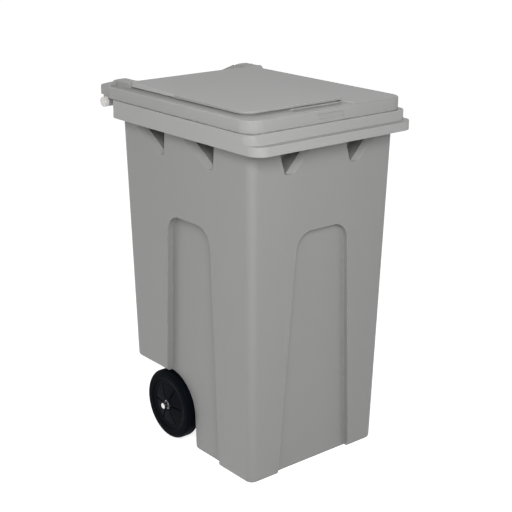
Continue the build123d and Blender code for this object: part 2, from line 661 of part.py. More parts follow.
def make_retaining_ring():
    """The right-hand open spring ring that snaps into the axle's groove."""
    low, high = RING_X, RING_X + RING_THICKNESS
    ring = bar_along_x(AXLE_RADIUS + RING_WIDTH, low, high, AXLE_Y, TYRE_RADIUS)
    inner = AXLE_RADIUS - RING_GROOVE_DEPTH + RUNNING_CLEARANCE
    ring -= bar_along_x(inner, low, high, AXLE_Y, TYRE_RADIUS)
    mouth = box_between(
        (low, AXLE_Y - RING_MOUTH_HALF, TYRE_RADIUS),
        (high, AXLE_Y + RING_MOUTH_HALF, TYRE_RADIUS + FAR),
    )
    return ring - mouth


# ---------------------------------------------------------------- lid


def lid_outline(inset, z, height, edge_radius=0.0):
    """The lid's plan as a solid from z up by height: the wide front and the narrower tail."""
    half = LID_HALF_WIDTH - inset
    front = LID_FRONT_Y + inset
    rear = RIM_REAR_Y - inset
    corners = [
        Vector(-half, front, z),
        Vector(half, front, z),
        Vector(half, rear, z),
        Vector(-half, rear, z),
    ]
    corner = LID_CORNER_RADIUS - inset
    end = SKIRT_END_RADIUS - inset
    face = rounded_face(corners, [(0, corner), (1, corner), (2, end), (3, end)])
    wide = extrude(face, amount=height, dir=(0, 0, 1))
    tail_half = TAIL_HALF_WIDTH - inset
    tail = box_between((-tail_half, front + corner, z), (tail_half, LID_TAIL_Y, z + height))
    if edge_radius:
        wide = fillet(wide.edges().group_by(Axis.Z)[-1], edge_radius)
        along = tail.edges().group_by(Axis.Z)[-1].filter_by(Axis.Y)
        tail = fillet(along, edge_radius)
    return wide + tail


def lid_shell():
    """The top plate with its skirt at the front and sides."""
    bottom = LID_BOTTOM_Z
    height = LID_TOP_Z - bottom
    outer = lid_outline(0, bottom, height, LID_EDGE_RADIUS)
    inner = lid_outline(LID_WALL, bottom - LID_WALL, height)
    tail_points = [
        (LID_FRONT_Y - FAR, bottom),
        (HINGE_Y, bottom),
        (HINGE_Y + KNUCKLE_RADIUS, LID_TAIL_BOTTOM_Z),
        (LID_TAIL_Y, LID_TAIL_BOTTOM_Z),
        (LID_TAIL_Y, LID_TOP_Z),
        (LID_FRONT_Y - FAR, LID_TOP_Z),
    ]
    keep = prism_along_x(tail_points, -FAR, FAR, [(4, LID_TAIL_RADIUS)])
    middle = box_between(
        (-KNUCKLE_INNER_X, LID_BACK_EDGE_Y, bottom - WALL),
        (KNUCKLE_INNER_X, FAR, LID_TOP_Z + WALL),
    )
    tail_inner = [
        (LID_FRONT_Y - FAR, bottom - FAR),
        (LID_TAIL_Y - LID_WALL, bottom - FAR),
        (LID_TAIL_Y - LID_WALL, LID_TOP_Z - LID_WALL),
        (LID_FRONT_Y - FAR, LID_TOP_Z - LID_WALL),
    ]
    room = prism_along_x(tail_inner, -FAR, FAR, [(2, LID_TAIL_RADIUS - LID_WALL)])
    back_skirt = box_between(
        (-KNUCKLE_INNER_X - LID_WALL, LID_BACK_EDGE_Y - LID_WALL, bottom),
        (KNUCKLE_INNER_X + LID_WALL, LID_BACK_EDGE_Y, LID_TOP_Z - LID_WALL / 2),
    )
    return (outer & keep) - (inner & room) - middle + back_skirt


def shadow_gap():
    """The step along the outside of the skirt's lower edge."""
    height = LID_SHADOW_GAP + WALL
    low = LID_BOTTOM_Z - WALL
    around = box_between((-FAR, -FAR, low), (FAR, RIM_REAR_Y + FACE_CLEARANCE, low + height))
    return around - lid_outline(LID_SHADOW_DEPTH, low, height)


def lid_knuckles():
    """The two eyes that turn on the hinge pins, with the cheeks that join them to the lid."""
    outer_x = TAIL_HALF_WIDTH
    inner_x = KNUCKLE_INNER_X
    eye = bar_along_x(KNUCKLE_RADIUS, inner_x, outer_x, HINGE_Y, HINGE_Z)
    cheek = [
        (HINGE_Y - KNUCKLE_RADIUS, HINGE_Z),
        (HINGE_Y + KNUCKLE_RADIUS, HINGE_Z),
        (HINGE_Y + KNUCKLE_RADIUS, LID_TOP_Z - LID_WALL / 2),
        (HINGE_Y - KNUCKLE_RADIUS, LID_TOP_Z - LID_WALL / 2),
    ]
    eye += prism_along_x(cheek, inner_x, outer_x)
    eye -= bar_along_x(PIN_RADIUS + RUNNING_CLEARANCE, 0, FAR, HINGE_Y, HINGE_Z)
    return both_sides(eye)


def block_core(inset):
    """A back block's ridged body, or at an inset the space inside it."""
    low = LID_TOP_Z - LID_WALL - inset
    front = HINGE_Y - BLOCK_FRONT + inset
    rear = HINGE_Y - BLOCK_END - inset
    top = BLOCK_TOP_Z - inset
    inner = BLOCK_STEP_X + inset
    outer = BLOCK_OUTER_X - inset
    along = [
        (front, low),
        (front, top - BLOCK_FRONT_DROP),
        (HINGE_Y - BLOCK_CREST, top),
        (HINGE_Y - BLOCK_SHOULDER, top - BLOCK_SHOULDER_DROP),
        (rear, LID_TOP_Z + BLOCK_REAR_HEIGHT - inset),
        (rear, low),
    ]
    across = [
        (inner, low),
        (inner, top - BLOCK_ROOF_DROP),
        ((inner + outer) / 2, top),
        (outer, top - BLOCK_ROOF_DROP),
        (outer, low),
    ]
    rounded = [(2, BLOCK_CREST_RADIUS), (3, BLOCK_SHOULDER_RADIUS)]
    return prism_along_x(along, inner, outer, rounded) & prism_along_y(across, front, rear)


def block_wing(inset):
    """The slope that runs down inwards and forwards from a block, or the space inside it."""
    low = LID_TOP_Z - LID_WALL - inset
    front = HINGE_Y - BLOCK_FRONT + inset
    rear = HINGE_Y - BLOCK_WING_END - inset
    wing = box_between(
        (BLOCK_INNER_X + inset, front, low), (BLOCK_STEP_X + inset, rear, BLOCK_TOP_Z)
    )
    across = BLOCK_WING_RISE / BLOCK_WING
    along = BLOCK_WING_RISE / (BLOCK_FRONT - BLOCK_WING_END)
    slope = Plane(
        origin=(BLOCK_INNER_X, HINGE_Y - BLOCK_WING_END, LID_TOP_Z - inset),
        z_dir=(-across, -along, 1),
    )
    return split(wing, bisect_by=slope, keep=Keep.BOTTOM)


def tail_ridge():
    """The slope on the tail's top that runs down to the back from beside a block."""
    front = HINGE_Y - BLOCK_SHOULDER
    points = [
        (front, LID_TOP_Z - LID_WALL),
        (front, LID_TOP_Z + TAIL_RIDGE_RISE),
        (LID_TAIL_Y - LID_TAIL_RADIUS, LID_TOP_Z),
        (LID_TAIL_Y - LID_TAIL_RADIUS, LID_TOP_Z - LID_WALL),
    ]
    return both_sides(prism_along_x(points, BLOCK_OUTER_X, TAIL_HALF_WIDTH))


def lid_blocks():
    """The two raised blocks at the back that clear the handle, and the spaces inside them."""
    block = block_core(0) + block_wing(0)
    space = block_core(LID_WALL) + block_wing(LID_WALL)
    return both_sides(block), both_sides(space)


def panel_face(inset):
    """The raised panel's plan: square to the left edge, its right edge a long sweep."""
    left = PANEL_LEFT_X + inset
    front = PANEL_FRONT_Y + inset
    rear = PANEL_REAR_Y - inset
    right_front = TRAY_HALF_BACK - inset
    right_rear = BLOCK_OUTER_X - LID_WALL - inset
    corner = PANEL_CORNER_RADIUS - inset
    sweep_points = [(right_front + x, front + y) for x, y in PANEL_SWEEP]
    sweep = Spline(
        (right_front, front),
        *sweep_points,
        (right_rear, rear),
        tangents=PANEL_SWEEP_TANGENTS,
    )
    edges = [
        sweep,
        Line((right_rear, rear), (left, rear)),
        Line((left, rear), (left, front + corner)),
        RadiusArc((left, front + corner), (left + corner, front), -corner),
        Line((left + corner, front), (right_front, front)),
    ]
    return make_face(edges)


def panel_block(inset, top_inset):
    """The raised panel, with a top that rises and hollows gently towards the back."""
    floor = LID_TOP_Z - LID_WALL - top_inset
    face = Pos(0, 0, floor) * panel_face(inset)
    block = extrude(face, amount=BLOCK_TOP_Z - floor, dir=(0, 0, 1))
    base = LID_TOP_Z - top_inset
    front = Vector(0, PANEL_FRONT_Y - WALL, base + PANEL_FRONT_HEIGHT)
    middle = Vector(0, (PANEL_FRONT_Y + PANEL_REAR_Y) / 2, base + PANEL_MIDDLE_HEIGHT)
    rear = Vector(0, PANEL_REAR_Y + WALL, base + PANEL_REAR_HEIGHT)
    front_above = Vector(0, front.Y, FAR + BLOCK_TOP_Z)
    rear_above = Vector(0, rear.Y, FAR + BLOCK_TOP_Z)
    outline = [
        ThreePointArc(front, middle, rear),
        Line(rear, rear_above),
        Line(rear_above, front_above),
        Line(front_above, front),
    ]
    above = extrude(make_face(outline), amount=2 * FAR, dir=(1, 0, 0))
    return block - Pos(-FAR, 0, 0) * above


def lip_groove():
    """The groove under the panel's lip, along its front and the front of its left edge."""
    low = LID_TOP_Z
    top = LID_TOP_Z + PANEL_FRONT_HEIGHT - PANEL_LIP_THICKNESS
    outer = extrude(Pos(0, 0, low) * panel_face(-WALL), amount=top - low, dir=(0, 0, 1))
    inner = extrude(
        Pos(0, 0, low) * panel_face(PANEL_LIP_DEPTH), amount=top - low, dir=(0, 0, 1)
    )
    reach = box_between((-FAR, -FAR, low), (TRAY_HALF_BACK, PANEL_LIP_END_Y, top))
    return (outer - inner) & reach


def panel_slope():
    """What is cut from the panel's left edge behind its lip: a low groove and a slope."""
    low = LID_TOP_Z + FACE_CLEARANCE
    foot = low + PANEL_SLOPE_FOOT
    high = LID_TOP_Z + PANEL_REAR_HEIGHT
    points = [
        (PANEL_LEFT_X - WALL, low),
        (PANEL_LEFT_X + PANEL_LIP_DEPTH, low),
        (PANEL_LEFT_X + PANEL_LIP_DEPTH, foot),
        (PANEL_LEFT_X, foot),
        (PANEL_LEFT_X + PANEL_SLOPE_WIDTH, high),
        (PANEL_LEFT_X - WALL, high),
    ]
    return prism_along_y(points, PANEL_LIP_END_Y, HINGE_Y - BLOCK_FRONT)


def make_lid():
    """The lid: shell, raised panel, grip tray, label recess, back blocks and knuckles."""
    blocks, block_space = lid_blocks()
    label_pad = box_between(
        (-LABEL_HALF_WIDTH - LID_WALL, LID_FRONT_Y, LABEL_LOW_Z - LID_WALL),
        (LABEL_HALF_WIDTH + LID_WALL, LID_FRONT_Y + LABEL_DEPTH + LID_WALL, LABEL_HIGH_Z + LID_WALL),
    )
    label_cut = box_between(
        (-LABEL_HALF_WIDTH, LID_FRONT_Y - WALL, LABEL_LOW_Z),
        (LABEL_HALF_WIDTH, LID_FRONT_Y + LABEL_DEPTH, LABEL_HIGH_Z),
    )
    tray = Polyline(
        (-TRAY_HALF_BACK, TRAY_BACK_Y),
        (TRAY_HALF_BACK, TRAY_BACK_Y),
        (TRAY_HALF_FRONT, TRAY_FRONT_Y),
        (-TRAY_HALF_FRONT, TRAY_FRONT_Y),
        close=True,
    )
    tray_face = Pos(0, 0, LID_TOP_Z - TRAY_DEPTH) * make_face(tray)
    tray_cut = extrude(tray_face, amount=TRAY_DEPTH + WALL, dir=(0, 0, 1))
    lid = lid_shell() + label_pad
    panel = panel_block(0, 0)
    lid -= tray_cut - panel
    lid += panel - panel_slope() + blocks + tail_ridge()
    lid -= lip_groove()
    lid -= shadow_gap()
    lid -= panel_block(LID_WALL + PANEL_LIP_DEPTH, LID_WALL)
    lid -= block_space
    lid -= label_cut
    lid += lid_knuckles()
    return lid


# ---------------------------------------------------------------- write the pieces


def write(name, shape):
    """Writes one piece to its STEP file."""
    export_step(shape, f"parts/{name}.step")


def main():
    os.makedirs("parts", exist_ok=True)
    write("body", make_body())
    write("lid", make_lid())
    write("axle", make_axle())
    inner_washer_x = CARRIER_OUTER_X + FACE_CLEARANCE
    right_hand = {
        "hinge_pin": make_hinge_pin(),
        "tyre": make_tyre(),
        "hub": make_hub(),
        "inner_washer": make_washer(inner_washer_x),
        "outer_washer": make_washer(COUNTERBORE_X + FACE_CLEARANCE),
        "retaining_ring": make_retaining_ring(),
    }
    for name, shape in right_hand.items():
        write(f"{name}_right", shape)
        write(f"{name}_left", mirror(shape, about=Plane.YZ))


main()
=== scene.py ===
"""The looks of a two-wheeled refuse bin: moulded tub and lid, rubber tyres, steel axle."""

from math import cos, radians, sin

import bmesh
import bpy
from bpy.props import (
    FloatProperty,
    FloatVectorProperty,
    IntProperty,
    PointerProperty,
)
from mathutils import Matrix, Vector


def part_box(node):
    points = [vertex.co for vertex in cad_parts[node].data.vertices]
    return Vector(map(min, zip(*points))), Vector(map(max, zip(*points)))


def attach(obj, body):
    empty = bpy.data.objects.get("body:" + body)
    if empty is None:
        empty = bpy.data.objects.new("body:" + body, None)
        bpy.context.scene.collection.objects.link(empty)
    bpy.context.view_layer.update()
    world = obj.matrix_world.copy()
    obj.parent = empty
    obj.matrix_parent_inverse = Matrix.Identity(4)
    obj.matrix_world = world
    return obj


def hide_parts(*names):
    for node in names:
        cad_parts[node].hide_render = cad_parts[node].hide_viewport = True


bl_info = {
    "name": "Wheelie bin",
    "version": (1, 0, 0),
    "blender": (4, 5, 0),
    "location": "View3D > Sidebar > Bin",
    "description": "Finishes the parts of a two-wheeled refuse bin and sets its stage",
    "category": "Object",
}

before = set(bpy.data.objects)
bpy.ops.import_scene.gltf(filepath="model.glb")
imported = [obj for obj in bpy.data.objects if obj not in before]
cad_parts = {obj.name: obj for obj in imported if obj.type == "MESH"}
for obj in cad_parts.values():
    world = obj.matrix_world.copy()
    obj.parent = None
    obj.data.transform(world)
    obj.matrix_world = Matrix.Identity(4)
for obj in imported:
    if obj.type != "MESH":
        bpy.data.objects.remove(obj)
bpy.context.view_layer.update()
SIDES = ("left", "right")
TYRE_SEAT = 0.076  # radius where a tyre sits on its hub
TYRE_FALL = 0.003  # how far the sidewall draws in by its seat
SIDEWALL_STEPS = 8
SWEEP_RADIUS = 0.1  # the circle that a tyre's section is swept along
MERGE_DISTANCE = 0.00001
FLAT_ANGLE = radians(0.3)
BEVEL_ANGLE = radians(28.0)
FLOOR_REACH = 12.0
WHITE = (1.0, 1.0, 1.0, 1.0)
HORIZON = (0.62, 0.62, 0.62)
ZENITH = (0.12, 0.12, 0.12)
LAMP_AIM = (0.0, 0.0, 0.55)
LAMPS = (  # name, place, side in metres, watts
    ("front", (-1.35, -1.9, 2.0), 1.0, 45.0),
    ("back left", (-1.7, 2.5, 2.7), 0.8, 22.0),
)
CAMERA_PLACE = (-2.1266, -2.6256, 1.6908)
CAMERA_TURN = (radians(71.67), 0.0, radians(-39.24))
CAMERA_LENS = 82.15


# ------------------------------------------------------------------ settings


class BinSizes(bpy.types.PropertyGroup):
    """Sizes that shape the finish of the bin's pieces."""

    tub_edge: FloatProperty(
        name="Tub edge radius",
        description="Rounding of the tub's moulded edges",
        default=0.0022,
        min=0.0,
        subtype="DISTANCE",
        unit="LENGTH",
    )
    lid_edge: FloatProperty(
        name="Lid edge radius",
        description="Rounding of the lid's moulded edges",
        default=0.0018,
        min=0.0,
        subtype="DISTANCE",
        unit="LENGTH",
    )
    hub_edge: FloatProperty(
        name="Hub edge radius",
        description="Rounding of the hubs' edges and grooves",
        default=0.0008,
        min=0.0,
        subtype="DISTANCE",
        unit="LENGTH",
    )
    tyre_shoulder: FloatProperty(
        name="Tyre shoulder radius",
        description="Rounding between a tyre's tread and its sides",
        default=0.013,
        min=0.001,
        subtype="DISTANCE",
        unit="LENGTH",
    )
    tread_groove: FloatProperty(
        name="Tread groove width",
        description="Width of each groove round a tyre's tread",
        default=0.003,
        min=0.0005,
        subtype="DISTANCE",
        unit="LENGTH",
    )
    tyre_steps: IntProperty(
        name="Steps round a tyre",
        description="Number of sections that a tyre is swept through",
        default=144,
        min=24,
    )
    floor_white: FloatProperty(
        name="Floor white",
        description="How much plain white the floor adds, so that only a shadow shows",
        default=0.8,
        min=0.0,
        max=1.0,
        subtype="FACTOR",
    )
    grain: FloatProperty(
        name="Grain size",
        description="Size of one grain of the moulded texture",
        default=0.0009,
        min=0.0001,
        precision=5,
        subtype="DISTANCE",
        unit="LENGTH",
    )


def colour_property(name, description, default):
    """A colour setting with the usual limits."""
    return FloatVectorProperty(
        name=name, description=description, default=default, subtype="COLOR", size=3, min=0, max=1
    )


class BinColours(bpy.types.PropertyGroup):
    """Colours of the bin's finishes, in linear light."""

    tub: colour_property("Tub", "Grey of the tub's plastic", (0.28, 0.28, 0.277))
    # Rim: a painted lighter band that stands in for the brighter light on the tub's rim
    rim: colour_property(
        "Rim", "Paler grey of the tub's rim, where it is handled", (0.365, 0.365, 0.362)
    )
    lid: colour_property("Lid", "Grey of the lid's plastic", (0.36, 0.36, 0.357))
    hub: colour_property("Hubs", "Black of the hubs' plastic", (0.0055, 0.007, 0.0095))
    tyre: colour_property("Tyres", "Black of the rubber", (0.003, 0.0042, 0.0062))
    pin: colour_property("Hinge pins", "Natural white of the nylon pins", (0.72, 0.71, 0.69))
    steel: colour_property("Steel", "Zinc plate on the axle and washers", (0.62, 0.62, 0.61))
    ring: colour_property("Rings", "Blackened spring steel", (0.12, 0.12, 0.125))
    floor: colour_property("Floor", "Pale floor of the stage", (0.92, 0.92, 0.92))


class BinSettings(bpy.types.PropertyGroup):
    """All of the bin's settings."""

    sizes: PointerProperty(type=BinSizes)
    colours: PointerProperty(type=BinColours)


# ------------------------------------------------------------------ shader groups


def new_group(name, inputs, outputs):
    """A shader node group with named sockets; inputs hold (type, name, default)."""
    group = bpy.data.node_groups.new(name, "ShaderNodeTree")
    for kind, label, default in inputs:
        socket = group.interface.new_socket(name=label, in_out="INPUT", socket_type=kind)
        if default is not None:
            socket.default_value = default
    for kind, label in outputs:
        group.interface.new_socket(name=label, in_out="OUTPUT", socket_type=kind)
    start = group.nodes.new("NodeGroupInput")
    end = group.nodes.new("NodeGroupOutput")
    return group, start, end


def math_node(tree, operation, first, second=None, clamp=False):
    """A Math node with sockets or numbers for its inputs; returns its output."""
    node = tree.nodes.new("ShaderNodeMath")
    node.operation = operation
    node.use_clamp = clamp
    for index, value in enumerate((first, second)):
        if value is None:
            continue
        if isinstance(value, bpy.types.NodeSocket):
            tree.links.new(value, node.inputs[index])
        else:
            node.inputs[index].default_value = value
    return node.outputs[0]


def ramp_node(tree, source, low, high):
    """A smooth step from 0 at low to 1 at high."""
    node = tree.nodes.new("ShaderNodeMapRange")
    node.interpolation_type = "SMOOTHSTEP"
    tree.links.new(source, node.inputs["Value"])
    node.inputs["From Min"].default_value = low
    node.inputs["From Max"].default_value = high
    return node.outputs["Result"]


def noise_node(tree, vector, scale, detail=4.0, roughness=0.5):
    """A noise texture on a vector; scale is a number or a socket."""
    node = tree.nodes.new("ShaderNodeTexNoise")
    node.inputs["Detail"].default_value = detail
    node.inputs["Roughness"].default_value = roughness
    tree.links.new(vector, node.inputs["Vector"])
    if isinstance(scale, bpy.types.NodeSocket):
        tree.links.new(scale, node.inputs["Scale"])
    else:
        node.inputs["Scale"].default_value = scale
    return node.outputs["Fac"]


def build_grain_group():
    """The fine grain of a moulding tool, with faint flow marks."""
    group, start, end = new_group(
        "Moulded grain",
        [
            ("NodeSocketVector", "Place", None),
            ("NodeSocketFloat", "Grain size", 0.0009),
            ("NodeSocketFloat", "Flow amount", 0.3),
        ],
        [("NodeSocketFloat", "Height"), ("NodeSocketFloat", "Shade")],
    )
    links = group.links
    place = start.outputs["Place"]
    frequency = math_node(group, "DIVIDE", 1.0, start.outputs["Grain size"])
    fine = noise_node(group, place, frequency, detail=3.0, roughness=0.6)
    stretch = group.nodes.new("ShaderNodeMapping")
    stretch.inputs["Scale"].default_value = (1.0, 1.0, 0.35)
    links.new(place, stretch.inputs["Vector"])
    flow = noise_node(group, stretch.outputs["Vector"], 7.0, detail=5.0, roughness=0.55)
    flow_height = math_node(group, "MULTIPLY", flow, start.outputs["Flow amount"])
    height = math_node(group, "ADD", fine, flow_height)
    links.new(height, end.inputs["Height"])
    broad = noise_node(group, stretch.outputs["Vector"], 2.2, detail=3.0)
    mixed = math_node(group, "ADD", math_node(group, "MULTIPLY", flow, 0.4), broad)
    shade = math_node(group, "MULTIPLY", mixed, 1 / 1.4)
    links.new(shade, end.inputs["Shade"])
    return group


def build_edge_wear_and_highlight_group():
    """Where an edge is made paler, partly as rubbing wear and partly as a painted highlight, broken up
    by noise.
    """
    group, start, end = new_group(
        "Rubbed edge",
        [("NodeSocketVector", "Place", None), ("NodeSocketFloat", "Reach", 0.003)],
        [("NodeSocketFloat", "Mask")],
    )
    links = group.links
    # The mask finds rounded edges. They are made paler there, partly for wear and partly as a painted
    # highlight.
    bevel = group.nodes.new("ShaderNodeBevel")
    bevel.samples = 4
    links.new(start.outputs["Reach"], bevel.inputs["Radius"])
    geometry = group.nodes.new("ShaderNodeNewGeometry")
    dot = group.nodes.new("ShaderNodeVectorMath")
    dot.operation = "DOT_PRODUCT"
    links.new(bevel.outputs["Normal"], dot.inputs[0])
    links.new(geometry.outputs["Normal"], dot.inputs[1])
    away = math_node(group, "SUBTRACT", 1.0, dot.outputs["Value"])
    edge = ramp_node(group, away, 0.02, 0.2)
    broken = noise_node(group, start.outputs["Place"], 55.0, detail=6.0, roughness=0.65)
    mask = math_node(group, "MULTIPLY", edge, ramp_node(group, broken, 0.3, 0.6))
    links.new(mask, end.inputs["Mask"])
    return group


def build_dust_group():
    """Dust that settles on faces that look up, in soft patches."""
    group, start, end = new_group(
        "Settled dust",
        [("NodeSocketVector", "Place", None), ("NodeSocketFloat", "Amount", 0.2)],
        [("NodeSocketFloat", "Mask")],
    )
    links = group.links
    geometry = group.nodes.new("ShaderNodeNewGeometry")
    parts = group.nodes.new("ShaderNodeSeparateXYZ")
    links.new(geometry.outputs["Normal"], parts.inputs["Vector"])
    up = ramp_node(group, parts.outputs["Z"], 0.3, 1.0)
    patches = noise_node(group, start.outputs["Place"], 9.0, detail=8.0, roughness=0.7)
    spread = ramp_node(group, patches, 0.3, 0.75)
    level = math_node(group, "MULTIPLY", up, spread)
    links.new(math_node(group, "MULTIPLY", level, start.outputs["Amount"]), end.inputs["Mask"])
    return group


def shared_groups():
    """The three shader groups, built once."""
    builders = {
        "Moulded grain": build_grain_group,
        "Rubbed edge": build_edge_wear_and_highlight_group,
        "Settled dust": build_dust_group,
    }
    for name, build in builders.items():
        if name not in bpy.data.node_groups:
            build()
    return [bpy.data.node_groups[name] for name in builders]


# ------------------------------------------------------------------ materials


def mix_colour(tree, factor, first, second):
    """A colour mix; each input is a socket or a colour."""
    node = tree.nodes.new("ShaderNodeMix")
    node.data_type = "RGBA"
    for label, value in (("Factor", factor), ("A", first), ("B", second)):
        socket = next(s for s in node.inputs if s.name == label and s.enabled)
        if isinstance(value, bpy.types.NodeSocket):
            tree.links.new(value, socket)
        elif isinstance(value, float):
            socket.default_value = value
        else:
            socket.default_value = (*value, 1.0)
    return next(s for s in node.outputs if s.enabled)


def scaled(colour, factor):
    """A colour made lighter or darker."""
    return tuple(min(1.0, channel * factor) for channel in colour)


def start_material(name):
    """An empty node material with its shader, output and object coordinates."""
    material = bpy.data.materials.new(name)
    material.use_nodes = True
    tree = material.node_tree
    shader = next(n for n in tree.nodes if n.type == "BSDF_PRINCIPLED")
    place = tree.nodes.new("ShaderNodeTexCoord").outputs["Object"]
    return material, tree, shader, place


def place_group(tree, group, place, **values):
    """A shader group in a material, fed with coordinates and its own values."""
    node = tree.nodes.new("ShaderNodeGroup")
    node.node_tree = group
    tree.links.new(place, node.inputs["Place"])
    for label, value in values.items():
        node.inputs[label.replace("_", " ")].default_value = value
    return node


def add_bump(tree, shader, height, strength, distance):
    """A Bump node from a height to the shader's normal."""
    bump = tree.nodes.new("ShaderNodeBump")
    bump.inputs["Strength"].default_value = strength
    bump.inputs["Distance"].default_value = distance
    tree.links.new(height, bump.inputs["Height"])
    tree.links.new(bump.outputs["Normal"], shader.inputs["Normal"])


def moulded_plastic(name, colour, settings, **look):
    """Moulded plastic: grained, faintly clouded, paler at edges from rubbing wear and a painted
    highlight, a little dusty, and optionally with a painted lighter band near the top.
    """
    grain_group, edge_wear_and_highlight_group, dust_group = shared_groups()
    material, tree, shader, place = start_material(name)
    grain = place_group(
        tree, grain_group, place, Grain_size=settings.sizes.grain, Flow_amount=look["flow"]
    )
    edge = place_group(tree, edge_wear_and_highlight_group, place, Reach=look["reach"])
    dust = place_group(tree, dust_group, place, Amount=look["dust"])
    darker = scaled(colour, 1 - look["cloud"])
    lighter = scaled(colour, 1 + look["cloud"])
    base = mix_colour(tree, grain.outputs["Shade"], darker, lighter)
    # Painted light: above a given height the colour blends to a paler grey, for the brighter light on
    # the rim
    if "handled" in look:
        low, high, paler = look["handled"]
        parts = tree.nodes.new("ShaderNodeSeparateXYZ")
        tree.links.new(place, parts.inputs["Vector"])
        base = mix_colour(tree, ramp_node(tree, parts.outputs["Z"], low, high), base, paler)
    # Edges made paler: partly rubbing wear, partly a painted highlight on rounded edges
    rub = math_node(tree, "MULTIPLY", edge.outputs["Mask"], look["rub"])
    base = mix_colour(tree, rub, base, look["rub_colour"])
    base = mix_colour(tree, dust.outputs["Mask"], base, look["dust_colour"])
    tree.links.new(base, shader.inputs["Base Color"])
    rough = math_node(tree, "MULTIPLY", grain.outputs["Shade"], look["rough_spread"])
    rough = math_node(tree, "ADD", rough, look["rough"] - look["rough_spread"] / 2)
    rough = math_node(tree, "ADD", rough, math_node(tree, "MULTIPLY", dust.outputs["Mask"], 0.25))
    tree.links.new(rough, shader.inputs["Roughness"])
    shader.inputs["Specular IOR Level"].default_value = look.get("specular", 0.5)
    add_bump(tree, shader, grain.outputs["Height"], look["bump"], look["bump_height"])
    return material


def plated_steel(name, colour, rough):
    """Zinc-plated steel: fine turning lines and a few dull spots."""
    material, tree, shader, place = start_material(name)
    turned = tree.nodes.new("ShaderNodeMapping")
    turned.inputs["Scale"].default_value = (9.0, 1.0, 1.0)
    tree.links.new(place, turned.inputs["Vector"])
    lines = noise_node(tree, turned.outputs["Vector"], 420.0, detail=3.0)
    spots = noise_node(tree, place, 160.0, detail=6.0, roughness=0.7)
    dull = ramp_node(tree, spots, 0.5, 0.72)
    base = mix_colour(tree, dull, colour, scaled(colour, 0.62))
    tree.links.new(base, shader.inputs["Base Color"])
    shader.inputs["Metallic"].default_value = 1.0
    level = math_node(tree, "ADD", math_node(tree, "MULTIPLY", dull, 0.25), rough)
    tree.links.new(level, shader.inputs["Roughness"])
    add_bump(tree, shader, lines, 0.25, 0.00012)
    return material


def tub_plastic(settings):
    """The tub's grey polyethylene."""
    return moulded_plastic(
        "tub_plastic",
        settings.colours.tub,
        settings,
        flow=0.35,
        reach=0.004,
        cloud=0.05,
        rub=0.5,
        rub_colour=(0.52, 0.52, 0.515),
        # A painted lighter band at the rim, blending in from 6 cm to 5 cm below the tub's top
        handled=(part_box("body")[1][2] - 0.06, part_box("body")[1][2] - 0.05, settings.colours.rim),
        dust=0.12,
        dust_colour=(0.42, 0.415, 0.4),
        specular=0.35,
        rough=0.4,
        rough_spread=0.14,
        bump=0.22,
        bump_height=0.00025,
    )


def lid_plastic(settings):
    """The lid's grey polyethylene, a little paler and glossier."""
    return moulded_plastic(
        "lid_plastic",
        settings.colours.lid,
        settings,
        flow=0.35,
        reach=0.003,
        cloud=0.05,
        rub=0.7,
        rub_colour=(0.62, 0.62, 0.615),
        dust=0.12,
        dust_colour=(0.44, 0.435, 0.42),
        specular=0.12,
        rough=0.34,
        rough_spread=0.14,
        bump=0.2,
        bump_height=0.00025,
    )


def hub_plastic(settings):
    """The hubs' black polypropylene."""
    return moulded_plastic(
        "hub_plastic",
        settings.colours.hub,
        settings,
        flow=0.5,
        reach=0.002,
        cloud=0.25,
        rub=0.1,
        rub_colour=(0.02, 0.023, 0.028),
        dust=0.02,
        dust_colour=(0.05, 0.05, 0.05),
        specular=0.01,
        rough=0.36,
        rough_spread=0.16,
        bump=0.25,
        bump_height=0.0003,
    )


def tyre_rubber(settings):
    """The tyres' solid black rubber."""
    return moulded_plastic(
        "tyre_rubber",
        settings.colours.tyre,
        settings,
        flow=0.4,
        reach=0.002,
        cloud=0.25,
        rub=0.1,
        rub_colour=(0.016, 0.019, 0.024),
        dust=0.02,
        dust_colour=(0.05, 0.05, 0.05),
        specular=0.01,
        rough=0.4,
        rough_spread=0.2,
        bump=0.35,
        bump_height=0.0004,
    )


def pin_nylon(settings):
    """The hinge pins' natural nylon."""
    return moulded_plastic(
        "pin_nylon",
        settings.colours.pin,
        settings,
        flow=0.2,
        reach=0.0015,
        cloud=0.04,
        rub=0.1,
        rub_colour=(0.8, 0.79, 0.77),
        dust=0.06,
        dust_colour=(0.5, 0.49, 0.46),
        rough=0.34,
        rough_spread=0.1,
        bump=0.12,
        bump_height=0.0002,
    )


def seen_rays(tree):
    """1 for rays from the camera, or seen in a gloss or through glass."""
    path = tree.nodes.new("ShaderNodeLightPath")
    seen = math_node(tree, "MAXIMUM", path.outputs["Is Camera Ray"], path.outputs["Is Glossy Ray"])
    return math_node(tree, "MAXIMUM", seen, path.outputs["Is Transmission Ray"])


def floor_paper(settings):
    """The stage's pale floor: white to the camera, but for the shadow close to the bin."""
    material, tree, shader, place = start_material("stage_floor")
    clouds = noise_node(tree, place, 1.5, detail=2.0)
    pale = settings.colours.floor
    base = mix_colour(tree, clouds, scaled(pale, 0.99), pale)
    tree.links.new(base, shader.inputs["Base Color"])
    shader.inputs["Roughness"].default_value = 0.9
    shader.inputs["Specular IOR Level"].default_value = 0.0
    white = tree.nodes.new("ShaderNodeEmission")
    white.inputs["Color"].default_value = WHITE
    share = math_node(tree, "MULTIPLY", seen_rays(tree), settings.sizes.floor_white)
    tree.links.new(share, white.inputs["Strength"])
    both = tree.nodes.new("ShaderNodeAddShader")
    tree.links.new(shader.outputs[0], both.inputs[0])
    tree.links.new(white.outputs[0], both.inputs[1])
    out = next(n for n in tree.nodes if n.type == "OUTPUT_MATERIAL")
    tree.links.new(both.outputs[0], out.inputs["Surface"])
    return material


# ------------------------------------------------------------------ mesh helpers


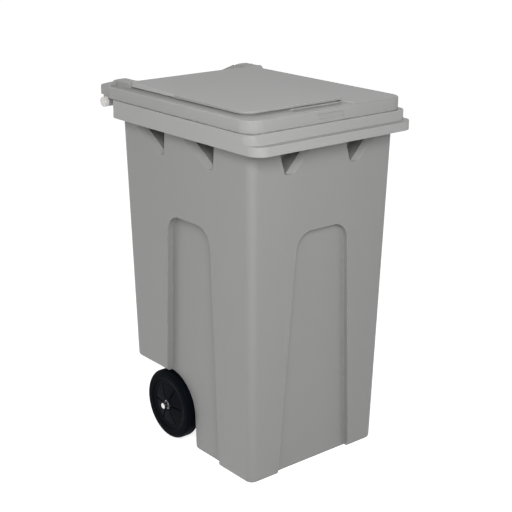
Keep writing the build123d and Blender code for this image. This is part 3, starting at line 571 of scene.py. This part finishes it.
def give_material(piece, material):
    """Puts one material in every slot of a piece."""
    slots = piece.data.materials
    if not slots:
        slots.append(material)
    for index in range(len(slots)):
        slots[index] = material


def link_piece(name, mesh):
    """A new object at the origin for a mesh."""
    piece = bpy.data.objects.new(name, mesh)
    bpy.context.scene.collection.objects.link(piece)
    return piece


def bake_modifiers(piece):
    """Turns a piece's modifiers into plain mesh and removes them."""
    graph = bpy.context.evaluated_depsgraph_get()
    result = bpy.data.meshes.new_from_object(piece.evaluated_get(graph))
    old = piece.data
    piece.modifiers.clear()
    result.name = old.name
    piece.data = result


def rounded_copy(node, name, width):
    """A copy of a CAD node, merged and with its edges rounded."""
    mesh = bpy.data.meshes.new(name)
    bm = bmesh.new()
    bm.from_mesh(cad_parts[node].data)
    bmesh.ops.remove_doubles(bm, verts=bm.verts, dist=MERGE_DISTANCE)
    bmesh.ops.dissolve_degenerate(bm, dist=MERGE_DISTANCE, edges=bm.edges)
    bmesh.ops.dissolve_limit(
        bm, angle_limit=FLAT_ANGLE, verts=bm.verts, edges=bm.edges, use_dissolve_boundaries=False
    )
    bm.to_mesh(mesh)
    bm.free()
    piece = link_piece(name, mesh)
    bevel = piece.modifiers.new("edges", "BEVEL")
    bevel.width = width
    bevel.segments = 3
    bevel.limit_method = "ANGLE"
    bevel.angle_limit = BEVEL_ANGLE
    bevel.use_clamp_overlap = True
    bevel.miter_outer = "MITER_ARC"
    bake_modifiers(piece)
    finish_normals(piece)
    return piece


def finish_normals(piece):
    """Smooth shading that keeps large faces flat."""
    for polygon in piece.data.polygons:
        polygon.use_smooth = True
    weights = piece.modifiers.new("flat_faces", "WEIGHTED_NORMAL")
    weights.mode = "FACE_AREA_WITH_ANGLE"
    weights.weight = 90
    weights.keep_sharp = True


# ------------------------------------------------------------------ swept tyre


def sweep_tree():
    """Geometry nodes that sweep a closed profile round the axle's direction."""
    name = "Sweep round axle"
    if name in bpy.data.node_groups:
        return bpy.data.node_groups[name]
    tree = bpy.data.node_groups.new(name, "GeometryNodeTree")
    face = tree.interface
    face.new_socket(name="Geometry", in_out="INPUT", socket_type="NodeSocketGeometry")
    for kind, label in (
        ("NodeSocketFloat", "Rail radius"),
        ("NodeSocketInt", "Steps"),
        ("NodeSocketVector", "Centre"),
        ("NodeSocketMaterial", "Material"),
    ):
        face.new_socket(name=label, in_out="INPUT", socket_type=kind)
    face.new_socket(name="Geometry", in_out="OUTPUT", socket_type="NodeSocketGeometry")
    nodes, links = tree.nodes, tree.links
    start = nodes.new("NodeGroupInput")
    end = nodes.new("NodeGroupOutput")
    profile = nodes.new("GeometryNodeMeshToCurve")
    links.new(start.outputs["Geometry"], profile.inputs["Mesh"])
    rail = nodes.new("GeometryNodeCurvePrimitiveCircle")
    links.new(start.outputs["Rail radius"], rail.inputs["Radius"])
    links.new(start.outputs["Steps"], rail.inputs["Resolution"])
    sweep = nodes.new("GeometryNodeCurveToMesh")
    links.new(rail.outputs["Curve"], sweep.inputs["Curve"])
    links.new(profile.outputs["Curve"], sweep.inputs["Profile Curve"])
    stand = nodes.new("GeometryNodeTransform")
    stand.inputs["Rotation"].default_value = (0.0, radians(90.0), 0.0)
    links.new(sweep.outputs["Mesh"], stand.inputs["Geometry"])
    links.new(start.outputs["Centre"], stand.inputs["Translation"])
    realize = nodes.new("GeometryNodeRealizeInstances")
    links.new(stand.outputs["Geometry"], realize.inputs["Geometry"])
    paint = nodes.new("GeometryNodeSetMaterial")
    links.new(realize.outputs["Geometry"], paint.inputs["Geometry"])
    links.new(start.outputs["Material"], paint.inputs["Material"])
    links.new(paint.outputs["Geometry"], end.inputs["Geometry"])
    return tree


def arc(middle, radius, start, end, steps=6):
    """Points along an arc, in degrees from the first coordinate's direction."""
    turns = [radians(start + (end - start) * n / steps) for n in range(steps + 1)]
    return [(middle[0] + radius * cos(t), middle[1] + radius * sin(t)) for t in turns]


def tyre_half(half_width, radius, seat, sizes):
    """Half of a tyre's section: (across, out) from the middle of the tread to its seat."""
    shoulder = sizes.tyre_shoulder
    groove = sizes.tread_groove
    middle = 2 * groove
    soft = groove / 5
    floor = radius - groove * 2 / 3
    near = middle - groove / 2
    far = middle + groove / 2
    points = arc((near - soft, radius - soft), soft, 90, 0, 3)
    points += arc((near + soft, floor + soft), soft, 180, 270, 3)
    points += arc((far - soft, floor + soft), soft, 270, 360, 3)
    points += arc((far + soft, radius - soft), soft, 180, 90, 3)
    points += arc((half_width - shoulder, radius - shoulder), shoulder, 90, 8, 12)
    wall = radius - shoulder
    line = wall - groove
    points += arc((half_width - soft, line), soft * 2, 70, 0, 3)[:1]
    points += arc((half_width, line - soft), soft * 1.5, 90, 270, 6)
    for n in range(1, SIDEWALL_STEPS + 1):
        share = n / SIDEWALL_STEPS
        out = line - groove + (seat - line + groove) * share
        points.append((half_width - TYRE_FALL * share * share, out))
    return points


def tyre_section(box, sizes):
    """A tyre's closed section as a mesh: X outwards from the rail, Y along the axle."""
    low, high = box
    half_width = (high[0] - low[0]) / 2
    radius = (high[2] - low[2]) / 2
    half = tyre_half(half_width, radius, TYRE_SEAT, sizes)
    loop = half + [(-across, out) for across, out in reversed(half)]
    mesh = bpy.data.meshes.new("tyre_section")
    points = [(out - SWEEP_RADIUS, across, 0.0) for across, out in loop]
    edges = [(n, (n + 1) % len(points)) for n in range(len(points))]
    mesh.from_pydata(points, edges, [])
    return mesh


def swept_tyre(name, node, rubber, sizes):
    """A tyre swept round its axle in the space of its CAD node."""
    low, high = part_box(node)
    piece = link_piece(name, tyre_section((low, high), sizes))
    sweep = piece.modifiers.new("sweep", "NODES")
    sweep.node_group = sweep_tree()
    centre = (Vector(low) + Vector(high)) / 2
    values = {
        "Rail radius": SWEEP_RADIUS,
        "Steps": sizes.tyre_steps,
        "Centre": tuple(centre),
        "Material": rubber,
    }
    for socket in sweep.node_group.interface.items_tree:
        if socket.in_out == "INPUT" and socket.name in values:
            sweep[socket.identifier] = values[socket.name]
    bake_modifiers(piece)
    finish_normals(piece)
    return piece


# ------------------------------------------------------------------ operators


class BIN_OT_tub(bpy.types.Operator):
    """Finishes the tub with its rim and handle"""

    bl_idname = "bin.tub"
    bl_label = "Tub"

    def execute(self, context):
        settings = context.scene.wheelie_bin
        piece = rounded_copy("body", "tub_moulding", settings.sizes.tub_edge)
        give_material(piece, tub_plastic(settings))
        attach(piece, "tub")
        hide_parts("body")
        return {"FINISHED"}


class BIN_OT_lid(bpy.types.Operator):
    """Finishes the lid with its raised panel and knuckles"""

    bl_idname = "bin.lid"
    bl_label = "Lid"

    def execute(self, context):
        settings = context.scene.wheelie_bin
        piece = rounded_copy("lid", "lid_moulding", settings.sizes.lid_edge)
        give_material(piece, lid_plastic(settings))
        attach(piece, "lid")
        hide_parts("lid")
        return {"FINISHED"}


class BIN_OT_wheels(bpy.types.Operator):
    """Finishes the two hubs and their tyres"""

    bl_idname = "bin.wheels"
    bl_label = "Wheels"

    def execute(self, context):
        settings = context.scene.wheelie_bin
        black = hub_plastic(settings)
        rubber = tyre_rubber(settings)
        for side in SIDES:
            hub = rounded_copy(f"hub_{side}", f"wheel_disc_{side}", settings.sizes.hub_edge)
            give_material(hub, black)
            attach(hub, f"wheel_{side}")
            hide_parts(f"hub_{side}")
            tyre = swept_tyre(f"solid_tyre_{side}", f"tyre_{side}", rubber, settings.sizes)
            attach(tyre, f"wheel_{side}")
            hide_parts(f"tyre_{side}")
        return {"FINISHED"}


class BIN_OT_hardware(bpy.types.Operator):
    """Finishes the axle, washers, rings and hinge pins"""

    bl_idname = "bin.hardware"
    bl_label = "Axle and pins"

    def execute(self, context):
        settings = context.scene.wheelie_bin
        zinc = plated_steel("zinc_steel", settings.colours.steel, 0.24)
        black = plated_steel("black_steel", settings.colours.ring, 0.35)
        nylon = pin_nylon(settings)
        give_material(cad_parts["axle"], zinc)
        for side in SIDES:
            give_material(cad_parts[f"hinge_pin_{side}"], nylon)
            give_material(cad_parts[f"inner_washer_{side}"], zinc)
            give_material(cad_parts[f"outer_washer_{side}"], zinc)
            give_material(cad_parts[f"retaining_ring_{side}"], black)
        return {"FINISHED"}


class BIN_OT_stage(bpy.types.Operator):
    """Sets the floor, the lights and the camera"""

    bl_idname = "bin.stage"
    bl_label = "Stage"

    def execute(self, context):
        settings = context.scene.wheelie_bin
        self.lay_floor(settings)
        self.light_world(context.scene)
        self.hang_lamps()
        self.place_camera(context.scene)
        context.scene.view_settings.view_transform = "Standard"
        return {"FINISHED"}

    def lay_floor(self, settings):
        """A wide floor that looks white except in shadow."""
        mesh = bpy.data.meshes.new("floor")
        signs = ((-1, -1), (1, -1), (1, 1), (-1, 1))
        corners = [(x * FLOOR_REACH, y * FLOOR_REACH) for x, y in signs]
        mesh.from_pydata([(x, y, 0.0) for x, y in corners], [], [(0, 1, 2, 3)])
        floor = link_piece("floor", mesh)
        give_material(floor, floor_paper(settings))

    def light_world(self, scene):
        """A soft, even surround that shows as plain white."""
        world = bpy.data.worlds.new("studio")
        scene.world = world
        world.use_nodes = True
        tree = world.node_tree
        tree.nodes.clear()
        out = tree.nodes.new("ShaderNodeOutputWorld")
        soft = tree.nodes.new("ShaderNodeBackground")
        ways = tree.nodes.new("ShaderNodeTexCoord")
        height = tree.nodes.new("ShaderNodeSeparateXYZ")
        tree.links.new(ways.outputs["Generated"], height.inputs["Vector"])
        above = ramp_node(tree, height.outputs["Z"], 0.1, 0.9)
        shade = mix_colour(tree, above, HORIZON, ZENITH)
        tree.links.new(shade, soft.inputs["Color"])
        soft.inputs["Strength"].default_value = 1.0
        white = tree.nodes.new("ShaderNodeBackground")
        white.inputs["Color"].default_value = WHITE
        white.inputs["Strength"].default_value = 1.0
        mix = tree.nodes.new("ShaderNodeMixShader")
        tree.links.new(seen_rays(tree), mix.inputs[0])
        tree.links.new(soft.outputs[0], mix.inputs[1])
        tree.links.new(white.outputs[0], mix.inputs[2])
        tree.links.new(mix.outputs[0], out.inputs["Surface"])

    def hang_lamps(self):
        """Soft lamps: one near the front left corner and one behind on the left."""
        for name, place, size, watts in LAMPS:
            data = bpy.data.lights.new(name, "AREA")
            data.shape = "SQUARE"
            data.size = size
            data.energy = watts
            lamp = bpy.data.objects.new(name, data)
            lamp.location = place
            lamp.rotation_euler = (Vector(LAMP_AIM) - Vector(place)).to_track_quat("-Z", "Y").to_euler()
            bpy.context.scene.collection.objects.link(lamp)

    def place_camera(self, scene):
        """The camera, from the front left corner and a little above."""
        data = bpy.data.cameras.new("camera")
        data.sensor_width = 36.0
        data.lens = CAMERA_LENS
        camera = bpy.data.objects.new("camera", data)
        camera.location = CAMERA_PLACE
        camera.rotation_euler = CAMERA_TURN
        scene.collection.objects.link(camera)
        scene.camera = camera


class BIN_PT_panel(bpy.types.Panel):
    """Lists the bin's settings and steps"""

    bl_idname = "BIN_PT_panel"
    bl_label = "Wheelie bin"
    bl_space_type = "VIEW_3D"
    bl_region_type = "UI"
    bl_category = "Bin"

    def draw(self, context):
        settings = context.scene.wheelie_bin
        for group in (settings.sizes, settings.colours):
            box = self.layout.box()
            for name in group.__annotations__:
                box.prop(group, name)
        for step in STEPS:
            self.layout.operator(step.bl_idname)


STEPS = (BIN_OT_tub, BIN_OT_lid, BIN_OT_wheels, BIN_OT_hardware, BIN_OT_stage)
CLASSES = (BinSizes, BinColours, BinSettings, *STEPS, BIN_PT_panel)


def register():
    for cls in CLASSES:
        bpy.utils.register_class(cls)
    bpy.types.Scene.wheelie_bin = PointerProperty(type=BinSettings)


def unregister():
    del bpy.types.Scene.wheelie_bin
    for cls in reversed(CLASSES):
        bpy.utils.unregister_class(cls)


def main():
    register()
    bpy.ops.bin.tub()
    bpy.ops.bin.lid()
    bpy.ops.bin.wheels()
    bpy.ops.bin.hardware()
    bpy.ops.bin.stage()


if __name__ == "__main__":
    main()
